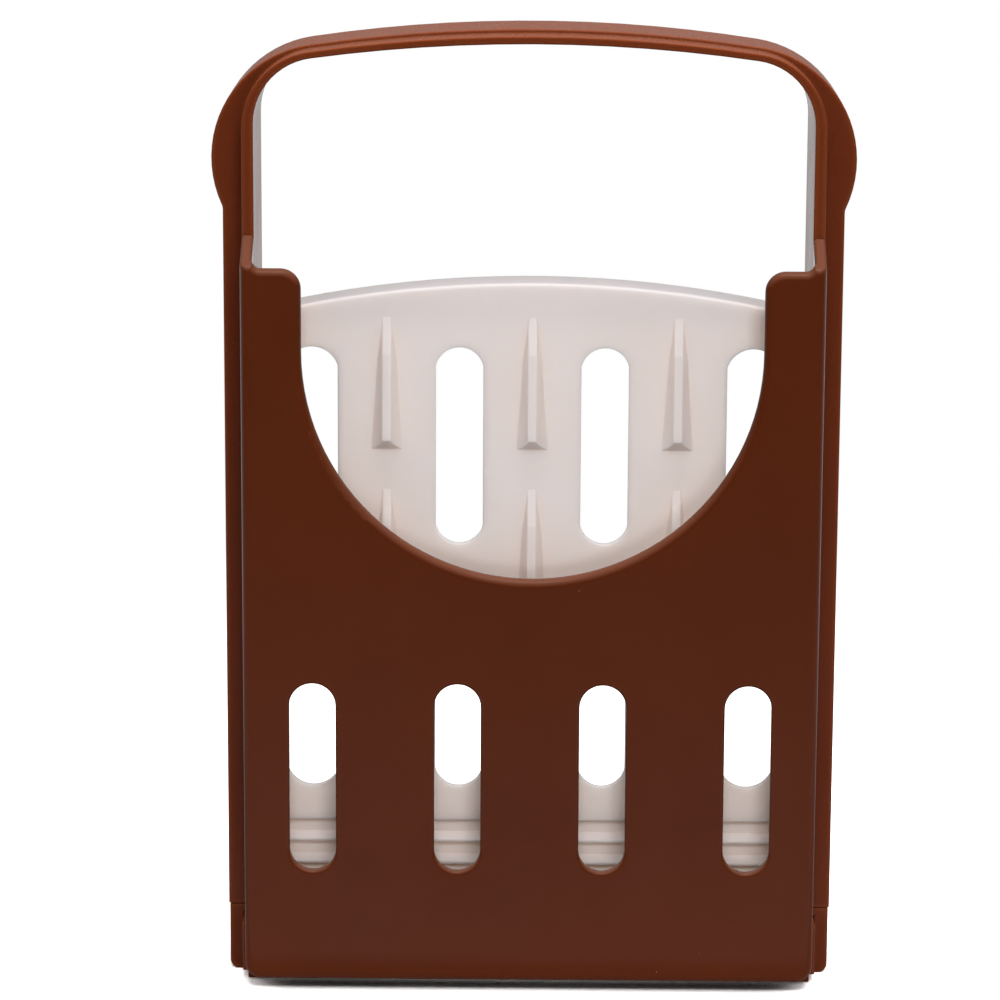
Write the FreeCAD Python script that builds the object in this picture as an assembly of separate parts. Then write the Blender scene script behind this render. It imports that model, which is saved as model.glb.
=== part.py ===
import FreeCAD, Part
import math
import os

# Folding bread slicer guide, in millimetres, standing folded as it is stored.
# X runs across the tool, Y from its front to its back, Z up from the table.
# The origin is on the table, under the middle of the bounding box.
#
# A stop plate stands at the front.  The guide frame behind it slides back to
# set the slice thickness, and its rim guides the knife.  The loaf platform
# stands inside the frame and swings back and down to lie on the table.  Two
# foot rails join the stop plate, carry the frame and hold the hinge pins.

V = FreeCAD.Vector

# ---------------------------------------------------------------- sizes
# Whole tool, folded
overall_height = 240.0
overall_depth = 40.0

# Loaf opening through the guide frame
opening_width = 136.3
opening_corner_sag = 3.6
opening_corner_radius = 16.2

# Guide frame: a narrow rim in front, then a wider band that is hollow behind
rim_setback = 9.9
rim_wall = 2.9
rim_corner_wall = 1.8
rim_crown_wall = 2.0
rim_edge_radius = 0.5
band_setback = 18.9
band_wall = 2.4
band_channel = 2.9
band_crown_lip = 0.8
band_corner_lip = 0.7
band_edge_radius = 0.55
ear_reach = 2.7
ear_drop = 8.3
ear_blend_radius = 3.0
web_thickness = 1.6
web_setback = 4.0
web_first = 48.0
web_pitch = 36.0
web_count = 5

# Stop plate, with two low side walls and a shelf for the cut slice
plate_wall = 2.4
plate_lift = 3.3
plate_corner_radius = 4.2
plate_edge_radius = 2.0
shoulder_height = 183.5
shoulder_radius = 5.0
upright_width = 14.8
cutout_depth = 76.8
slope_start = 0.3
slope_rise = 6.7
slope_edge_radius = 0.8
side_wall_fillet = 2.2
slot_count = 4
slot_margin = 11.4
slot_width = 11.5
slot_bottom = 31.9
slot_length = 48.2
slot_edge_radius = 0.7
shelf_thickness = 2.0

# Foot rails
rail_height = 17.1
rail_inset = 0.3
rail_floor = 2.0
rail_floor_setback = 11.5
rail_corner_radius = 2.4
cheek_wall = 2.7
cheek_end_setback = 27.0
cheek_corner_radius = 4.0
tongue_bottom = 5.0
tongue_top = 14.0
peg_radius = 1.8
peg_length = 1.9
peg_setback = 6.2
rest_block_width = 3.0
rest_block_depth = 2.6

# Loaf platform
platform_setback = 15.4
platform_thickness = 12.0
platform_skin = 2.2
platform_skirt = 2.2
platform_crown = 178.0
platform_corner_sag = 5.8
platform_corner_radius = 8.0
platform_edge_radius = 0.8
vent_width = 11.7
vent_cap = 4.6
vent_length = 49.7
vent_first = 49.6
vent_gap = 13.0
vent_rows = 2
outer_vent_reach = 1.1
tooth_base_width = 7.6
tooth_crest_width = 2.0
tooth_flare = 0.4
tooth_height = 3.6
tooth_length = 33.1
tooth_tip_height = 2.2
tooth_tip_length = 9.0
tooth_end_slope = 2.7
tooth_first = 50.0
tooth_pitch = 43.2
tooth_rows = 3
groove_depth = 1.3
groove_slant = 1.9
groove_land = 0.6
groove_margin = 4.2
groove_pad = 1.4
cross_rib_wall = 1.8
cross_rib_depth = 6.5

# Hinge
hinge_drop = 3.9
pin_radius = 2.0
pin_reach = 4.7
pin_nose_chamfer = 0.5
boss_radius = 3.5
boss_length = 4.0

# Slice thickness: the frame's lugs sit under notches in the platform's skirts
thickness_step = 5.8
thickness_steps = 3
lug_setback = 31.8
lug_length = 4.0
lug_height = 1.9
lug_edge_radius = 1.1
lug_overlap = 1.6
notch_depth = 1.1
notch_runout = 3.2
stop_rib_proud = 1.3
stop_rib_setback = 0.6
stop_rib_length = 8.0
stop_rib_top = 15.0
stop_rib_edge_radius = 0.6

# Clearances
gap = 0.3
pin_running_gap = 0.05
pin_seat_gap = 0.02

# Edges this near to a plane lie in it
plane_tolerance = 0.0001

# ---------------------------------------------------------------- places
front_y = -overall_depth / 2
back_y = overall_depth / 2
rim_y = front_y + rim_setback
band_y = front_y + band_setback
platform_y = front_y + platform_setback
skirt_y = platform_y + platform_thickness
plate_back_y = front_y + plate_wall
side_wall_y = rim_y - gap
floor_y = front_y + rail_floor_setback
cheek_y = front_y + cheek_end_setback

half_opening = opening_width / 2
half_rim = half_opening + rim_wall
half_band = half_rim + band_channel + band_wall
rim_crown = overall_height - band_crown_lip
opening_crown = rim_crown - rim_crown_wall
rim_corner_sag = opening_corner_sag + rim_crown_wall - rim_corner_wall
rim_corner_radius = opening_corner_radius + rim_wall
rim_corner_x = half_rim - rim_corner_radius
rim_corner_z = rim_crown - rim_corner_sag - rim_corner_radius
cheek_out = half_opening - gap
cheek_in = cheek_out - cheek_wall
half_platform = cheek_in - gap
half_inside = half_platform - platform_skirt
rail_in = half_rim + gap
rail_out = half_band - rail_inset

# Each ear is an arc that runs just outside the rim's corner and reaches past the leg.
ear_side = half_band + ear_reach
ear_span = ear_side - rim_corner_x
ear_inner_radius = rim_corner_radius + band_corner_lip
ear_radius = (ear_span ** 2 + ear_drop ** 2 - ear_inner_radius ** 2) / (2 * (ear_span - ear_inner_radius))
ear_x = ear_side - ear_radius
ear_z = rim_corner_z - ear_drop
ear_sag = overall_height - ear_z - ear_radius

# The side walls' tops slope up to the rim from just above the shoulders.
slope_foot = shoulder_height + slope_start
slope_top = slope_foot + slope_rise

cutout_radius = half_rim - upright_width
cutout_centre = shoulder_height - cutout_depth + cutout_radius
slot_pitch = (2 * (half_rim - slot_margin) - slot_width) / (slot_count - 1)

leg_foot = rail_floor + gap
band_foot = rail_height + gap

# The skirt's round end turns just clear of the table about the hinge, and the
# skirt lies just clear of it when the platform is down.
lobe_radius = platform_thickness - hinge_drop
hinge_y = platform_y + hinge_drop
hinge_z = lobe_radius + gap
platform_foot = hinge_z - math.sqrt(lobe_radius ** 2 - hinge_drop ** 2)
shelf_top = hinge_z + hinge_drop
shelf_y = hinge_y - lobe_radius - gap

# Each lug place, seen on the standing platform: the lowest is the rest place.
lug_y = front_y + lug_setback
first_notch_z = hinge_z + lug_y - hinge_y
slide_travel = thickness_step * thickness_steps
notch_places = [first_notch_z + i * thickness_step for i in range(thickness_steps + 1)]
notch_low = notch_places[0] - thickness_step / 2
notch_high = notch_places[-1] + thickness_step / 2
stop_rib_y = rim_y + stop_rib_setback
stop_rib_back = stop_rib_y + stop_rib_length


# ---------------------------------------------------------------- helpers
def box(x0, x1, y0, y1, z0, z1):
    return Part.makeBox(x1 - x0, y1 - y0, z1 - z0, V(x0, y0, z0))


def line(x0, z0, x1, z1):
    return Part.LineSegment(V(x0, 0, z0), V(x1, 0, z1)).toShape()


def polar(x, z, radius, angle):
    return V(x + radius * math.cos(angle), 0, z + radius * math.sin(angle))


def arc(x, z, radius, start, end):
    """An arc in the XZ plane about (x, z), between two angles in radians."""
    points = [polar(x, z, radius, a) for a in (start, (start + end) / 2, end)]
    return Part.Arc(*points).toShape()


def prism_y(edges, y0, y1):
    """The region inside closed edges of the XZ plane, from y0 to y1."""
    face = Part.Face(Part.Wire(Part.sortEdges(edges)[0]))
    face.translate(V(0, y0, 0))
    return face.extrude(V(0, y1 - y0, 0))


def prism_x(points, x0, x1):
    """A polygon of (y, z) corners, from x0 to x1."""
    corners = [V(x0, y, z) for y, z in points]
    face = Part.Face(Part.makePolygon(corners + corners[:1]))
    return face.extrude(V(x1 - x0, 0, 0))


def cylinder_x(radius, x0, x1, y, z):
    return Part.makeCylinder(radius, x1 - x0, V(x0, y, z), V(1, 0, 0))


def mirrored(shape):
    return shape.mirror(V(0, 0, 0), V(1, 0, 0))


def both_sides(shape):
    return [shape, mirrored(shape)]


def symmetric(right_edges, middle_edges):
    return right_edges + [mirrored(e) for e in right_edges] + middle_edges


def slot_edges(x, z0, width, length, cap):
    """A slot standing on z0, closed above and below by arcs that are cap high."""
    half = width / 2
    low = z0 + cap
    high = z0 + length - cap
    top = Part.Arc(V(x - half, 0, high), V(x, 0, z0 + length), V(x + half, 0, high))
    bottom = Part.Arc(V(x - half, 0, low), V(x, 0, z0), V(x + half, 0, low))
    sides = [line(x + side * half, low, x + side * half, high) for side in (-1, 1)]
    return sides + [top.toShape(), bottom.toShape()]


def slot_columns():
    middle = (slot_count - 1) / 2
    return [(i - middle) * slot_pitch for i in range(slot_count)]


def on_plane_y(shape, y):
    """Edges that lie wholly in the plane at y."""
    low = y - plane_tolerance
    high = y + plane_tolerance
    return [e for e in shape.Edges if e.BoundBox.YMin > low and e.BoundBox.YMax < high]


def finish(shape, name):
    solid = shape.removeSplitter()
    solid.exportStep("parts/%s.step" % name)
    return solid


# ---------------------------------------------------------------- outlines
def bow_radius(corner_x, corner_radius, sag):
    """A bowed crown's radius where the corner rounds that it meets peak sag below its top."""
    return (corner_x ** 2 + (sag + corner_radius) ** 2 - corner_radius ** 2) / (2 * sag)


def arch(half_width, crown, sag, corner_radius, foot):
    """Legs, round corners and a bowed crown, closed along the foot."""
    corner_x = half_width - corner_radius
    corner_z = crown - sag - corner_radius
    crown_radius = bow_radius(corner_x, corner_radius, sag)
    centre = crown - crown_radius
    turn = math.atan2(corner_z - centre, corner_x)
    right = [line(half_width, foot, half_width, corner_z), arc(corner_x, corner_z, corner_radius, 0, turn)]
    middle = [arc(0, centre, crown_radius, turn, math.pi - turn), line(-half_width, foot, half_width, foot)]
    return symmetric(right, middle)


def band_outline(inset, foot):
    """The frame's outer edge with its ears, moved inwards by inset."""
    crown_radius = bow_radius(ear_x, ear_radius, ear_sag)
    centre = overall_height - crown_radius
    blend_x = half_band + ear_blend_radius
    blend_z = ear_z - math.sqrt((ear_radius + ear_blend_radius) ** 2 - (blend_x - ear_x) ** 2)
    crown_turn = math.atan2(ear_z - centre, ear_x)
    blend_turn = math.atan2(blend_z - ear_z, blend_x - ear_x)
    leg_x = half_band - inset
    right = [
        line(leg_x, foot, leg_x, blend_z),
        arc(blend_x, blend_z, ear_blend_radius + inset, math.pi, math.pi + blend_turn),
        arc(ear_x, ear_z, ear_radius - inset, blend_turn, crown_turn),
    ]
    middle = [
        arc(0, centre, crown_radius - inset, crown_turn, math.pi - crown_turn),
        line(-leg_x, foot, leg_x, foot),
    ]
    return symmetric(right, middle)


def plate_outline():
    """The stop plate's full front view, up to the top of its side walls."""
    top = slope_top
    low = plate_lift + plate_corner_radius
    inner = half_rim - plate_corner_radius
    right = [line(half_rim, top, half_rim, low), arc(inner, low, plate_corner_radius, -math.pi / 2, 0)]
    middle = [line(-half_rim, top, half_rim, top), line(-inner, plate_lift, inner, plate_lift)]
    return symmetric(right, middle)


def window_outline():
    """What is open above the shoulders, with the round cut-out below it."""
    top = overall_height
    round_x = cutout_radius + shoulder_radius
    round_z = shoulder_height - shoulder_radius
    blend_x = half_opening - side_wall_fillet
    blend_z = shoulder_height + side_wall_fillet
    right = [
        line(half_opening, top, half_opening, blend_z),
        arc(blend_x, blend_z, side_wall_fillet, -math.pi / 2, 0),
        line(blend_x, shoulder_height, round_x, shoulder_height),
        arc(round_x, round_z, shoulder_radius, math.pi / 2, math.pi),
        line(cutout_radius, round_z, cutout_radius, cutout_centre),
    ]
    middle = [
        line(-half_opening, top, half_opening, top),
        arc(0, cutout_centre, cutout_radius, math.pi, 2 * math.pi),
    ]
    return symmetric(right, middle)


def platform_outline(inset, foot):
    return arch(
        half_platform - inset,
        platform_crown - inset,
        platform_corner_sag,
        platform_corner_radius - inset,
        foot,
    )


# ---------------------------------------------------------------- stop plate
def plate_slots():
    cap = slot_width / 2
    return [
        prism_y(slot_edges(x, slot_bottom, slot_width, slot_length, cap), front_y, plate_back_y)
        for x in slot_columns()
    ]


def peg(radius, length):
    """A snap peg on the right rail's tongue, reaching out into the side wall."""
    z = (tongue_bottom + tongue_top) / 2
    return cylinder_x(radius, cheek_out - gap, cheek_out + length, front_y + peg_setback, z)


def slope_edges(shape):
    """The long straight edges of the slope, on both sides of each side wall."""
    pitch = slope_rise / (side_wall_y - front_y)
    edges = []
    for edge in shape.Edges:
        offsets = [abs(v.Z - slope_foot - (v.Y - front_y) * pitch) for v in edge.Vertexes]
        if max(offsets) < plane_tolerance and edge.BoundBox.XLength < plane_tolerance:
            edges.append(edge)
    return edges


def stop_plate():
    outline = prism_y(plate_outline(), front_y, side_wall_y)
    slab = box(-half_rim, half_rim, front_y, plate_back_y, 0, overall_height)
    slab = slab.cut(prism_y(window_outline(), front_y, plate_back_y))
    wall = box(half_opening, half_rim, front_y, side_wall_y, 0, overall_height)
    shelf = box(-cheek_in, cheek_in, front_y, shelf_y, shelf_top - shelf_thickness, shelf_top)
    shape = slab.fuse(both_sides(wall) + [shelf]).common(outline)

    above_slope = prism_x(
        [
            (front_y, slope_foot),
            (side_wall_y, slope_top),
            (side_wall_y, overall_height),
            (front_y, overall_height),
        ],
        -half_band,
        half_band,
    )
    shape = shape.cut([above_slope]).removeSplitter()
    shape = shape.makeFillet(plate_edge_radius, on_plane_y(shape, front_y))
    shape = shape.makeFillet(slope_edge_radius, slope_edges(shape))
    shape = shape.cut(plate_slots())
    slot_rims = [
        e for e in on_plane_y(shape, front_y)
        if e.BoundBox.ZMax < slot_bottom + slot_length + slot_edge_radius
        and e.BoundBox.ZMin > slot_bottom - slot_edge_radius
        and e.BoundBox.XLength < slot_width + slot_edge_radius
    ]
    shape = shape.makeFillet(slot_edge_radius, slot_rims)
    hole = peg(peg_radius + pin_running_gap, peg_length + gap)
    return finish(shape.cut(both_sides(hole)), "stop_plate")


# ---------------------------------------------------------------- guide frame
def leg_webs():
    """Thin floors across the hollow of each leg, and one that closes its foot."""
    foot_web = box(half_rim, half_band - band_wall, band_y, back_y, band_foot, band_foot + band_wall)
    webs = both_sides(foot_web)
    for i in range(web_count):
        z = web_first + i * web_pitch
        web = box(half_rim, half_band - band_wall, band_y, back_y - web_setback, z, z + web_thickness)
        webs += both_sides(web)
    return webs


def lug():
    """A round-topped lug at the foot of the right leg, under the skirt."""
    inner = half_platform - lug_overlap
    y0 = lug_y - lug_length / 2
    block = box(inner, half_rim, y0, y0 + lug_length, leg_foot, leg_foot + lug_height)
    top = [e for e in block.Edges if e.BoundBox.ZMin > leg_foot + gap and e.BoundBox.XLength > lug_length]
    return block.makeFillet(lug_edge_radius, top)


def stop_rib():
    """An upright rib outside the right leg: it meets the end of the rail's recess."""
    outer = half_rim + stop_rib_proud
    block = box(half_opening, outer, stop_rib_y, stop_rib_back, leg_foot, stop_rib_top)
    edges = [e for e in block.Edges if e.BoundBox.XMin > outer - gap and e.BoundBox.YLength < gap]
    return block.makeFillet(stop_rib_edge_radius, edges)


def band_front_edges(shape):
    """The band's outer front edges, except the short ones across its feet."""
    side = half_band - gap
    top = overall_height - gap
    return [
        e for e in on_plane_y(shape, band_y)
        if (e.BoundBox.XMax > side or e.BoundBox.XMin < -side or e.BoundBox.ZMax > top)
        and (e.BoundBox.ZMin > band_foot + gap or e.BoundBox.ZLength > gap)
    ]


def guide_frame():
    outer = arch(half_rim, rim_crown, rim_corner_sag, rim_corner_radius, leg_foot)
    opening = arch(half_opening, opening_crown, opening_corner_sag, opening_corner_radius, 0)
    rim = prism_y(outer, rim_y, back_y)
    band = prism_y(band_outline(0, band_foot), band_y, back_y)
    hollow = prism_y(band_outline(band_wall, band_foot), band_y + band_wall, back_y)
    passage = prism_y(opening, rim_y, back_y)

    shape = band.cut([hollow]).fuse([rim] + leg_webs()).cut([passage]).removeSplitter()
    rim_edges = [e for e in on_plane_y(shape, rim_y) if e.Length > 2 * rim_wall]
    shape = shape.makeFillet(rim_edge_radius, rim_edges)
    shape = shape.makeFillet(band_edge_radius, band_front_edges(shape))
    shape = shape.fuse(both_sides(lug()) + both_sides(stop_rib()))
    return finish(shape, "guide_frame")


# ---------------------------------------------------------------- foot rails
def rail_recess():
    """Where the frame's stop rib runs, inside the right rail."""
    outer = half_rim + stop_rib_proud + gap
    end = stop_rib_back + slide_travel + gap
    return box(half_opening, outer, band_y - gap, end, rail_floor, stop_rib_top + gap)


def cheek():
    """The upright that holds the hinge pin, with a tongue inside the plate's side wall."""
    upright = box(cheek_in, cheek_out, floor_y, cheek_y, 0, rail_height)
    top = [e for e in upright.Edges if e.BoundBox.ZMin > rail_height - gap and e.BoundBox.XLength > gap]
    upright = upright.makeFillet(cheek_corner_radius, top)
    tongue = box(cheek_in, cheek_out, plate_back_y + gap, hinge_y, tongue_bottom, tongue_top)
    block = box(
        cheek_in - rest_block_width,
        cheek_out,
        platform_y - gap - rest_block_depth,
        platform_y - gap,
        shelf_top + gap,
        rail_height - gap,
    )
    return upright.fuse([tongue, block])


def foot_rail():
    outer_cheek = box(rail_in, rail_out, band_y, back_y, 0, rail_height)
    low_edge = [
        e for e in outer_cheek.Edges
        if e.BoundBox.ZMax < gap and e.BoundBox.XMin > rail_out - gap
    ]
    outer_cheek = outer_cheek.makeFillet(rail_corner_radius, low_edge).cut([rail_recess()])
    floor = box(cheek_in, rail_in + gap, band_y, back_y, 0, rail_floor)
    front_floor = box(cheek_in, half_rim, floor_y, band_y, 0, rail_floor)
    shape = outer_cheek.fuse([floor, front_floor, cheek(), peg(peg_radius, peg_length)])
    pin_hole = cylinder_x(pin_radius + pin_seat_gap, half_inside, rail_in, hinge_y, hinge_z)
    return shape.cut([pin_hole])


# ---------------------------------------------------------------- loaf platform
def tooth(x, z):
    """A tooth that rises downwards from its tip to a steep end, to grip the crust.

    Its section, a flat crest between flanks that flare at their foot, lies in the
    steep end.  The crest's line carries it back to the tip, sinking slowly at
    first and then faster.
    """
    half_base = tooth_base_width / 2
    half_crest = tooth_crest_width / 2
    waist = (half_base + half_crest) / 2 - tooth_flare
    crest_y = platform_y - tooth_height
    crest_z = z + tooth_end_slope
    foot = [V(x + s * half_base, platform_y, z) for s in (-1, 1)]
    flank = [V(x + s * waist, (platform_y + crest_y) / 2, (z + crest_z) / 2) for s in (-1, 1)]
    crest = [V(x + s * half_crest, crest_y, crest_z) for s in (-1, 1)]
    edges = [Part.Arc(f, m, c).toShape() for f, m, c in zip(foot, flank, crest)]
    edges += [Part.makeLine(crest[0], crest[1]), Part.makeLine(foot[0], foot[1])]
    end = Part.Face(Part.Wire(Part.sortEdges(edges)[0]))
    to_knee = V(0, tooth_height - tooth_tip_height, tooth_length - tooth_tip_length - tooth_end_slope)
    knee = end.translated(to_knee)
    ramp = end.extrude(to_knee).fuse([knee.extrude(V(0, tooth_tip_height, tooth_tip_length))])
    return ramp.common(box(x - half_base, x + half_base, crest_y, platform_y, z, z + tooth_length))


def teeth():
    columns = slot_columns()
    middles = [(a + b) / 2 for a, b in zip(columns, columns[1:])]
    return [tooth(x, tooth_first + row * tooth_pitch) for x in middles for row in range(tooth_rows)]


def vents():
    """Rows of long vents; the outermost reach a little further towards the sides."""
    shapes = []
    for x in slot_columns():
        reach = outer_vent_reach if abs(x) > slot_pitch else 0
        middle = x + math.copysign(reach / 2, x)
        for row in range(vent_rows):
            z = vent_first + row * (vent_length + vent_gap)
            edges = slot_edges(middle, z, vent_width + reach, vent_length, vent_cap)
            shapes.append(prism_y(edges, platform_y, skirt_y))
    return shapes


def grooves():
    """A trough for each place of the lugs: a flat floor, with a slanted side below it."""
    half_width = (thickness_step - groove_land) / 2
    half_length = half_platform - groove_margin
    trough_y = platform_y + groove_depth
    shapes = []
    for z in notch_places:
        corners = [
            (platform_y, z + half_width),
            (trough_y, z + half_width),
            (trough_y, z - half_width + groove_slant),
            (platform_y, z - half_width),
        ]
        shapes.append(prism_x(corners, -half_length, half_length))
    return shapes


def groove_backing():
    """More skin behind the grooves, so that the wall stays thick under them."""
    y0 = platform_y + platform_skin - gap
    return box(-half_inside, half_inside, y0, y0 + gap + groove_pad, notch_low, notch_high)


def skirt_notches():
    """The relief along the right skirt, with a round notch above each lug place."""
    crest_y = skirt_y - (leg_foot + lug_height)
    low = notch_places[0] - lug_length / 2 - notch_runout
    high = notch_places[-1] + lug_length / 2 + notch_runout
    relief = box(half_inside - gap, half_platform, crest_y, skirt_y, low, high)
    half_chord = (thickness_step - groove_land) / 2
    radius = (half_chord ** 2 + notch_depth ** 2) / (2 * notch_depth)
    notches = [
        cylinder_x(radius, half_inside - gap, half_platform, crest_y + radius - notch_depth, z)
        for z in notch_places
    ]
    return relief.fuse(notches)


def cross_ribs():
    """Stiffeners behind the skin, above each row of vents and beside the grooves."""
    vent_pitch = vent_length + vent_gap
    places = [vent_first + row * vent_pitch - vent_gap / 2 for row in range(1, vent_rows + 1)]
    places += [notch_low - cross_rib_wall, notch_high]
    half = half_inside + gap
    y0 = platform_y + platform_skin - gap
    return [box(-half, half, y0, y0 + cross_rib_depth, z, z + cross_rib_wall) for z in places]


def hinge_boss():
    inner = half_inside - boss_length
    return cylinder_x(boss_radius, inner, half_inside + gap, hinge_y, hinge_z)


def loaf_platform():
    body = prism_y(platform_outline(0, platform_foot), platform_y, skirt_y)
    front_edges = [e for e in on_plane_y(body, platform_y) if e.BoundBox.ZMax > platform_foot + gap]
    body = body.makeFillet(platform_edge_radius, front_edges)
    inside = prism_y(platform_outline(platform_skirt, 0), platform_y + platform_skin, skirt_y)
    lobe = cylinder_x(lobe_radius, -half_platform, half_platform, hinge_y, hinge_z)
    above = box(-half_platform, half_platform, platform_y, skirt_y, hinge_z, overall_height)
    shell = body.cut([inside]).common(lobe.fuse([above]))

    shape = shell.fuse(cross_ribs() + [groove_backing()] + both_sides(hinge_boss()))
    shape = shape.cut(vents() + grooves() + both_sides(skirt_notches()))
    bore_radius = pin_radius + pin_running_gap
    bore = cylinder_x(bore_radius, half_inside - boss_length, half_platform, hinge_y, hinge_z)
    shape = shape.cut(both_sides(bore)).fuse(teeth())
    return finish(shape, "loaf_platform")


# ---------------------------------------------------------------- hinge pins
def hinge_pin():
    inner = half_platform - pin_reach
    pin = cylinder_x(pin_radius, inner, cheek_out, hinge_y, hinge_z)
    nose = [e for e in pin.Edges if e.BoundBox.XMax < inner + gap]
    return pin.makeChamfer(pin_nose_chamfer, nose)


def main():
    os.makedirs("parts", exist_ok=True)
    stop_plate()
    guide_frame()
    loaf_platform()
    right_rail = foot_rail()
    finish(right_rail, "foot_rail_right")
    finish(mirrored(right_rail), "foot_rail_left")
    right_pin = hinge_pin()
    finish(right_pin, "hinge_pin_right")
    finish(mirrored(right_pin), "hinge_pin_left")


main()
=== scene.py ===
import math

import bpy
from mathutils import Matrix, Vector

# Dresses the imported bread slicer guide: moulded brown and cream plastic on a
# white table, seen from the front and a little above.  Metres throughout.

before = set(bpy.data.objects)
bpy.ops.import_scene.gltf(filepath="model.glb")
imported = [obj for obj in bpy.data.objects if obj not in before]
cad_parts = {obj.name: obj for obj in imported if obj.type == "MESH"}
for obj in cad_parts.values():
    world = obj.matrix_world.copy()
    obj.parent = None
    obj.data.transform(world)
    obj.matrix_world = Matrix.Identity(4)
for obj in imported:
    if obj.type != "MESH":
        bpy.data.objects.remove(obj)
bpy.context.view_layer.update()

MM = 0.001

# ------------------------------------------------------------------ camera
# Place in metres, angles in degrees, focal length in pixels of the square image.
CAMERA_PLACE = (0.0011, -1.0074, 0.3424)
CAMERA_YAW = -0.511
CAMERA_PITCH = 12.308
CAMERA_ROLL = 0.292
CAMERA_FOCAL_PX = 4135.6
CAMERA_REACH = 20.0
IMAGE_PX = 1000.0
SENSOR_MM = 36.0

# ------------------------------------------------------------------ light
LAMP_COLOUR = (1.0, 0.98, 0.965)
LAMP_AIM = (0, 0, 0.1)
# name, place, width, height, watts, and whether reflections show the lamp
LAMPS = [
    ("softbox_front", (0.1, -1.12, 1.00), 0.5, 0.32, 11.5, False),
    ("softbox_low", (0.15, -1.3, 0.12), 0.5, 0.2, 3.6, False),
    ("softbox_top", (0.05, -0.25, 1.35), 0.6, 0.4, 4.0, True),
    ("fill_back", (0.5, 1.3, 0.8), 0.9, 0.9, 5.0, False),
    ("fill_left", (-1.3, -0.2, 0.7), 0.8, 0.8, 2.0, False),
    ("fill_right", (1.3, -0.2, 0.7), 0.8, 0.8, 2.0, False),
]

# ------------------------------------------------------------------ table
TABLE_BACK = 4.0
TABLE_FRONT = -0.045
TABLE_SIDE = 3.0
# how near a piece paints shadow into the table's colour, and how far out the table turns plain white
TABLE_CONTACT_REACH = 60 * MM
TABLE_WHITE_FROM = 0.2
TABLE_WHITE_TO = 0.5
# how pale the table is under a piece, where shadow is painted, and in the open, for light that bounces
# and to the eye
TABLE_BOUNCE = (0.08, 0.82)
TABLE_SHOWN = (0.12, 2.4)
TABLE_MIRRORED = 0.2

# ------------------------------------------------------------------ room
ROOM_BELOW = 0.24
ROOM_ABOVE = 0.16
ROOM_OVERHEAD = 0.3
MIRRORED_FRONT = 0.04
MIRRORED_SIDES = 0.3
MIRRORED_WORKTOP = 1.5
MIRRORED_STRAIGHT_DOWN = 0.12

# ------------------------------------------------------------------ colours
BROWN = (0.082, 0.0155, 0.0038)
BROWN_DEEP = (0.075, 0.0137, 0.0032)
# the edge colour: rubbed wear along edges, with a painted orange glow and highlight
BROWN_EDGE_WEAR_AND_GLOW = (0.23, 0.058, 0.017)
FRAME_BROWN = (0.131, 0.0252, 0.0072)
FRAME_BROWN_DEEP = (0.119, 0.0219, 0.006)
# the frame's edge colour: rubbed wear along edges, with a painted orange glow
FRAME_BROWN_EDGE_WEAR_AND_GLOW = (0.27, 0.070, 0.020)
# painted shade: a darker brown laid into enclosed places on the frame
FRAME_BROWN_PAINTED_HOLLOW_SHADE = (0.075, 0.0125, 0.0045)
PIN_BROWN = (0.088, 0.021, 0.0095)
PIN_BROWN_DEEP = (0.076, 0.017, 0.0075)
CREAM = (0.705, 0.655, 0.648)
CREAM_WARM = (0.69, 0.634, 0.62)
# the cream's edge colour: rubbed wear along edges, with a painted highlight
CREAM_EDGE_WEAR_AND_HIGHLIGHT = (0.755, 0.72, 0.72)
# painted light: a paler cream laid on faces that point up
CREAM_PAINTED_TOP_LIGHT = (0.9, 0.82, 0.845)
# painted light: a paler, warmer cream laid into enclosed places
CREAM_PAINTED_HOLLOW_GLOW = (0.84, 0.66, 0.56)
# painted light: much paler browns laid on faces that point up, for the plate and the frame
PLATE_PAINTED_TOP_LIGHT = (0.216, 0.077, 0.043)
FRAME_PAINTED_TOP_LIGHT = (0.352, 0.088, 0.031)
DUST = (0.62, 0.56, 0.50)

# ------------------------------------------------------------------ wear, and the reach of the painted shade in enclosed places
PAINTED_HOLLOW_REACH = 20 * MM
DUST_RADIUS = 0.14 * MM
DUST_PER_METRE = 95.0
WARP_DEPTH = 0.6 * MM
PEEL_DEPTH = 0.05 * MM
GRAIN_DEPTH = 0.02 * MM
DUST_DEPTH = 0.05 * MM


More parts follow.
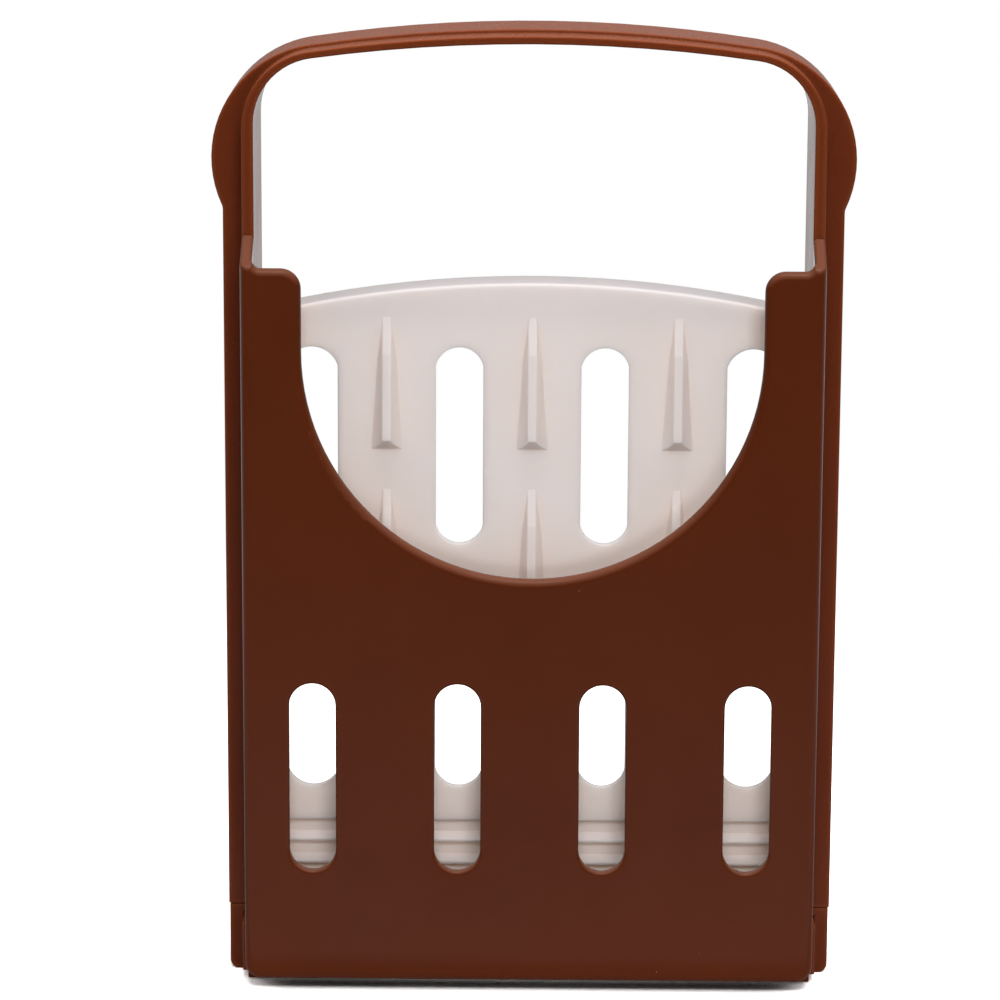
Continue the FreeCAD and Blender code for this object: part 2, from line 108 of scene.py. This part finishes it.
# ------------------------------------------------------------------ shader helpers
class Tree:
    """A node tree with short ways to add nodes and join them."""

    def __init__(self, owner):
        owner.use_nodes = True
        self.nodes = owner.node_tree.nodes
        self.links = owner.node_tree.links
        self.nodes.clear()

    def put(self, socket, value):
        if isinstance(value, bpy.types.NodeSocket):
            self.links.new(value, socket)
        else:
            socket.default_value = value

    def add(self, kind, inputs=None, **settings):
        node = self.nodes.new(kind)
        for name, value in settings.items():
            setattr(node, name, value)
        for name, value in (inputs or {}).items():
            self.put(node.inputs[name], value)
        return node

    def noise(self, place, scale, detail=3.0, roughness=0.5):
        values = {"Vector": place, "Scale": scale, "Detail": detail, "Roughness": roughness}
        return self.add("ShaderNodeTexNoise", values).outputs["Fac"]

    def stretch(self, place, scale, turn=(0, 0, 0)):
        values = {"Vector": place, "Scale": scale, "Rotation": turn}
        return self.add("ShaderNodeMapping", values).outputs["Vector"]

    def ramp(self, value, low, high, to_low=0.0, to_high=1.0):
        values = {"Value": value, "From Min": low, "From Max": high, "To Min": to_low, "To Max": to_high}
        return self.add("ShaderNodeMapRange", values, clamp=True).outputs["Result"]

    def math(self, operation, a, b=0.0):
        return self.add("ShaderNodeMath", {0: a, 1: b}, operation=operation).outputs[0]

    def mix(self, factor, a, b):
        node = self.add("ShaderNodeMix", data_type="RGBA")
        self.put(node.inputs[0], factor)
        self.put(node.inputs[6], a if isinstance(a, bpy.types.NodeSocket) else (*a, 1.0))
        self.put(node.inputs[7], b if isinstance(b, bpy.types.NodeSocket) else (*b, 1.0))
        return node.outputs[2]

    def bump(self, height, distance, strength, normal):
        values = {"Height": height, "Distance": distance, "Strength": strength, "Normal": normal}
        return self.add("ShaderNodeBump", values).outputs["Normal"]

    def blend(self, share, weight, a, b):
        """Colour a, with b laid over it by share times weight."""
        return self.mix(self.math("MULTIPLY", share, weight), a, b)

    def open_air(self, reach, samples):
        """1 in the open and less where something lies within reach."""
        return self.add("ShaderNodeAmbientOcclusion", {"Distance": reach}, samples=samples).outputs["AO"]


def edge_mask(tree, radius, none, full):
    """1 along outer and inner edges, 0 on the faces, and the softened normal."""
    soft = tree.add("ShaderNodeBevel", {"Radius": radius}, samples=6).outputs["Normal"]
    flat = tree.add("ShaderNodeNewGeometry").outputs["Normal"]
    dot = tree.add("ShaderNodeVectorMath", {0: soft, 1: flat}, operation="DOT_PRODUCT").outputs["Value"]
    return tree.ramp(dot, none, full), soft


def specks(tree, place, scale, radius, share):
    """Sparse dust specks: one small dot in a share of the cells."""
    cell = tree.add("ShaderNodeTexVoronoi", {"Vector": place, "Scale": scale, "Randomness": 1.0})
    near = tree.ramp(cell.outputs["Distance"], radius * scale, radius * scale * 0.6)
    pick = tree.add("ShaderNodeSeparateColor", {0: cell.outputs["Color"]}).outputs[0]
    chosen = tree.math("LESS_THAN", pick, share)
    return tree.math("MULTIPLY", near, chosen)


def hairlines(tree, place, turn, seed):
    """Fine straight scratches in one direction, broken into short lengths."""
    shifted = tree.stretch(place, (3200.0, 60.0, 60.0), turn)
    shifted = tree.add("ShaderNodeVectorMath", {0: shifted, 1: (seed, seed, seed)}).outputs["Vector"]
    line = tree.noise(shifted, 1.0, 1.0)
    return tree.ramp(line, 0.73, 0.79)


def plastic(name, look):
    """Moulded plastic, with its colour, gloss, wear and painted light and shade as look gives them."""
    material = bpy.data.materials.new(name)
    tree = Tree(material)
    place = tree.add("ShaderNodeTexCoord").outputs["Object"]

    drift = tree.noise(place, 28.0, 4.0)
    grain = tree.noise(place, 2600.0, 2.0)
    colour = tree.mix(tree.ramp(drift, 0.35, 0.65), look["deep"], look["pale"])
    colour = tree.mix(tree.ramp(grain, 0.3, 0.7, 0.0, 0.05), colour, look["edge"])
    # painted light: faces that point up are blended toward a paler colour
    normal = tree.add("ShaderNodeTexCoord").outputs["Normal"]
    upward = tree.add("ShaderNodeSeparateXYZ", {0: normal}).outputs["Z"]
    colour = tree.blend(tree.ramp(upward, 0.15, 0.9), look["painted_top_light_share"], colour, look["painted_top_light"])
    # edges: rubbed wear, with painted glow and highlight in the edge colour
    edges, soft = edge_mask(tree, look["edge_width"], 0.99, 0.8)
    colour = tree.blend(edges, look["edge_share"], colour, look["edge"])
    # painted glow: a wider band along edges in the edge colour
    rim = edge_mask(tree, look["rim_width"], 0.995, 0.75)[0]
    colour = tree.blend(rim, look["rim_share"], colour, look["edge"])
    # painted shade on the brown pieces and painted light on the cream: enclosed places take the colour
    # for them
    hollow = tree.ramp(tree.open_air(PAINTED_HOLLOW_REACH, 6), 0.95, 0.35, 0.0, look["hollow_share"])
    colour = tree.mix(hollow, colour, look["hollow"])
    dust = specks(tree, place, DUST_PER_METRE, DUST_RADIUS, look["dust_share"])
    colour = tree.blend(dust, 0.35, colour, DUST)

    smear = tree.noise(tree.stretch(place, (1.0, 1.0, 0.35)), 70.0, 5.0, 0.62)
    scratch = tree.math(
        "MAXIMUM",
        hairlines(tree, place, (0.0, 0.5, 0.3), 3.1),
        hairlines(tree, place, (0.0, -0.9, 0.2), 7.7),
    )
    roughness = tree.ramp(smear, 0.3, 0.7, look["rough"] * 0.9, look["rough"] * 1.15)
    roughness = tree.math("ADD", roughness, tree.math("MULTIPLY", scratch, 0.05))
    roughness = tree.math("ADD", roughness, tree.math("MULTIPLY", dust, 0.3))

    warp = tree.bump(tree.noise(place, 16.0, 1.0), WARP_DEPTH, 0.35, soft)
    peel = tree.bump(tree.noise(place, 750.0, 2.0), PEEL_DEPTH, 0.10, warp)
    fine = tree.bump(tree.math("SUBTRACT", grain, scratch), GRAIN_DEPTH, 0.08, peel)
    raised = tree.bump(dust, DUST_DEPTH, 0.5, fine)

    shader = tree.add(
        "ShaderNodeBsdfPrincipled",
        {
            "Base Color": colour,
            "Roughness": roughness,
            "Normal": raised,
            "Subsurface Weight": look["scatter"],
            "Subsurface Radius": look["scatter_mm"],
            "Subsurface Scale": MM,
            "Specular IOR Level": look["specular"],
            "IOR": 1.5,
        },
    )
    tree.add("ShaderNodeOutputMaterial", {"Surface": shader.outputs[0]})
    return material


def dress(material, *names):
    """Gives the named nodes this material alone."""
    for name in names:
        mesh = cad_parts[name].data
        mesh.materials.clear()
        mesh.materials.append(material)


# ------------------------------------------------------------------ stage
def seen_directly(tree):
    """1 for what the camera and reflections see, 0 for light that bounces."""
    path = tree.add("ShaderNodeLightPath")
    seen = tree.math("ADD", path.outputs["Is Camera Ray"], path.outputs["Is Glossy Ray"])
    seen = tree.math("ADD", seen, path.outputs["Is Transmission Ray"])
    return tree.math("MINIMUM", seen, 1.0)


def table_material():
    """White to the eye with a contact shadow painted into its colour, duller in reflections and for
    light that bounces.
    """
    material = bpy.data.materials.new("table_white")
    tree = Tree(material)
    seen = seen_directly(tree)
    # painted shadow: the table's colour darkens where a piece lies within reach
    open_air = tree.open_air(TABLE_CONTACT_REACH, 16)
    shown = tree.ramp(open_air, 0.06, 0.24, *TABLE_SHOWN)
    glossy = tree.add("ShaderNodeLightPath").outputs["Is Glossy Ray"]
    shown = tree.math("MULTIPLY", shown, tree.ramp(glossy, 0.0, 1.0, 1.0, TABLE_MIRRORED))
    level = tree.ramp(seen, 0.0, 1.0, tree.ramp(open_air, 0.1, 0.6, *TABLE_BOUNCE), shown)
    colour = tree.add("ShaderNodeCombineColor", {0: level, 1: level, 2: level}).outputs[0]
    lit = tree.add("ShaderNodeBsdfDiffuse", {"Color": colour})
    white = tree.add("ShaderNodeEmission", {"Color": (1, 1, 1, 1), "Strength": 1.0})
    place = tree.add("ShaderNodeTexCoord").outputs["Object"]
    away = tree.add("ShaderNodeVectorMath", {0: place}, operation="LENGTH").outputs["Value"]
    far = tree.math("MULTIPLY", tree.ramp(away, TABLE_WHITE_FROM, TABLE_WHITE_TO), seen)
    surface = tree.add("ShaderNodeMixShader", {0: far, 1: lit.outputs[0], 2: white.outputs[0]})
    tree.add("ShaderNodeOutputMaterial", {"Surface": surface.outputs[0]})
    material.cycles.emission_sampling = "NONE"
    return material


def table_top():
    """A flat table that starts just in front of the tool and runs far behind it."""
    mesh = bpy.data.meshes.new("table_top")
    corners = [
        (-TABLE_SIDE, TABLE_FRONT, 0),
        (TABLE_SIDE, TABLE_FRONT, 0),
        (TABLE_SIDE, TABLE_BACK, 0),
        (-TABLE_SIDE, TABLE_BACK, 0),
    ]
    mesh.from_pydata(corners, [], [(0, 1, 2, 3)])
    mesh.materials.append(table_material())
    floor = bpy.data.objects.new("table_top", mesh)
    bpy.context.scene.collection.objects.link(floor)


def world_light():
    """A dim room, brighter overhead; the camera sees it white, and reflections see it dark in
    front with a pale worktop below."""
    world = bpy.data.worlds.new("studio")
    bpy.context.scene.world = world
    tree = Tree(world)
    direction = tree.add("ShaderNodeTexCoord").outputs["Generated"]
    axes = tree.add("ShaderNodeSeparateXYZ", {0: direction}).outputs
    overhead = tree.ramp(axes["Z"], 0.25, 0.85, 0.0, ROOM_OVERHEAD)
    room = tree.math("ADD", tree.ramp(axes["Z"], -0.02, 0.02, ROOM_BELOW, ROOM_ABOVE), overhead)
    sides = tree.ramp(axes["Y"], -0.75, -0.1, MIRRORED_FRONT, MIRRORED_SIDES)
    worktop = tree.ramp(axes["Z"], -0.25, -0.262, 0.0, MIRRORED_WORKTOP)
    steep = tree.ramp(axes["Z"], -0.34, -0.55, 1.0, MIRRORED_STRAIGHT_DOWN)
    worktop = tree.math("MULTIPLY", worktop, steep)
    mirrored = tree.math("ADD", tree.math("ADD", sides, worktop), overhead)
    path = tree.add("ShaderNodeLightPath")
    shown = tree.ramp(path.outputs["Is Glossy Ray"], 0.0, 1.0, room, mirrored)
    strength = tree.ramp(path.outputs["Is Camera Ray"], 0.0, 1.0, shown, 1.0)
    background = tree.add("ShaderNodeBackground", {"Color": (1, 1, 1, 1), "Strength": strength})
    tree.add("ShaderNodeOutputWorld", {"Surface": background.outputs[0]})
    world.cycles.sampling_method = "NONE"


def softbox(name, place, width, height, power, shows):
    """A rectangular lamp turned to the tool; shows says whether reflections see it."""
    lamp = bpy.data.lights.new(name, "AREA")
    lamp.shape = "RECTANGLE"
    lamp.size = width
    lamp.size_y = height
    lamp.energy = power
    lamp.color = LAMP_COLOUR
    holder = bpy.data.objects.new(name, lamp)
    holder.location = place
    holder.rotation_mode = "QUATERNION"
    holder.rotation_quaternion = (Vector(LAMP_AIM) - Vector(place)).to_track_quat("-Z", "Y")
    holder.visible_glossy = shows
    bpy.context.scene.collection.objects.link(holder)


def camera():
    """The camera that was fitted to the tool's outline."""
    yaw, pitch, roll = (math.radians(a) for a in (CAMERA_YAW, CAMERA_PITCH, CAMERA_ROLL))
    ahead = Vector((math.sin(yaw) * math.cos(pitch), math.cos(yaw) * math.cos(pitch), -math.sin(pitch)))
    level = Vector((math.cos(yaw), -math.sin(yaw), 0))
    up = level.cross(ahead)
    right = level * math.cos(roll) + up * math.sin(roll)
    top = up * math.cos(roll) - level * math.sin(roll)
    turn = Matrix((right, top, -ahead)).transposed()
    lens = bpy.data.cameras.new("camera")
    lens.sensor_width = SENSOR_MM
    lens.lens = CAMERA_FOCAL_PX * SENSOR_MM / IMAGE_PX
    lens.clip_end = CAMERA_REACH
    holder = bpy.data.objects.new("camera", lens)
    holder.matrix_world = Matrix.Translation(CAMERA_PLACE) @ turn.to_4x4()
    bpy.context.scene.collection.objects.link(holder)
    bpy.context.scene.camera = holder


# ------------------------------------------------------------------ looks
# pale, deep: the colours that the plastic drifts between; edge: rubbed wear along edges with a painted
# glow and highlight; faded: painted light on faces that point up; hollow: painted shade on the brown
# pieces and painted light on the cream in enclosed places; scatter_mm: how far red, green and blue light
# spread inside.
PLATE_LOOK = {
    "pale": BROWN,
    "deep": BROWN_DEEP,
    "edge": BROWN_EDGE_WEAR_AND_GLOW,
    "edge_width": 0.6 * MM,
    "edge_share": 0.5,
    "rim_width": 1.6 * MM,
    "rim_share": 0.12,
    # painted light on faces that point up
    "painted_top_light": PLATE_PAINTED_TOP_LIGHT,
    "painted_top_light_share": 0.85,
    # painted shade: enclosed places darken to the deeper brown
    "hollow": BROWN_DEEP,
    "hollow_share": 0.5,
    "dust_share": 0.16,
    "rough": 0.19,
    "specular": 0.11,
    "scatter": 0.15,
    "scatter_mm": (1.6, 0.5, 0.2),
}
FRAME_LOOK = {
    "pale": FRAME_BROWN,
    "deep": FRAME_BROWN_DEEP,
    "edge": FRAME_BROWN_EDGE_WEAR_AND_GLOW,
    "edge_width": 0.6 * MM,
    "edge_share": 0.5,
    "rim_width": 2.4 * MM,
    "rim_share": 0.5,
    # painted light on faces that point up
    "painted_top_light": FRAME_PAINTED_TOP_LIGHT,
    "painted_top_light_share": 0.8,
    # painted shade: enclosed places darken to a deeper brown
    "hollow": FRAME_BROWN_PAINTED_HOLLOW_SHADE,
    "hollow_share": 0.5,
    "dust_share": 0.08,
    "rough": 0.26,
    "specular": 0.1,
    "scatter": 0.35,
    "scatter_mm": (2.8, 0.8, 0.25),
}
PIN_LOOK = {
    **PLATE_LOOK,
    "pale": PIN_BROWN,
    "deep": PIN_BROWN_DEEP,
    "dust_share": 0.0,
    "rough": 0.42,
    "specular": 0.3,
    "painted_top_light_share": 0.0,
}
CREAM_LOOK = {
    "pale": CREAM,
    "deep": CREAM_WARM,
    "edge": CREAM_EDGE_WEAR_AND_HIGHLIGHT,
    "edge_width": 0.35 * MM,
    "edge_share": 0.25,
    "rim_width": 1.0 * MM,
    "rim_share": 0.1,
    # painted light on faces that point up
    "painted_top_light": CREAM_PAINTED_TOP_LIGHT,
    "painted_top_light_share": 0.75,
    # painted light: enclosed places turn a paler, warmer cream
    "hollow": CREAM_PAINTED_HOLLOW_GLOW,
    "hollow_share": 0.45,
    "dust_share": 0.0,
    "rough": 0.34,
    "specular": 0.25,
    "scatter": 0.85,
    "scatter_mm": (5.4, 4.9, 4.4),
}
dress(plastic("brown_plate", PLATE_LOOK), "stop_plate")
dress(plastic("brown_frame", FRAME_LOOK), "guide_frame", "foot_rail_left", "foot_rail_right")
dress(plastic("brown_pin", PIN_LOOK), "hinge_pin_left", "hinge_pin_right")
dress(plastic("cream_plastic", CREAM_LOOK), "loaf_platform")

table_top()
world_light()
for lamp_values in LAMPS:
    softbox(*lamp_values)
camera()
bpy.context.scene.view_settings.view_transform = "Standard"
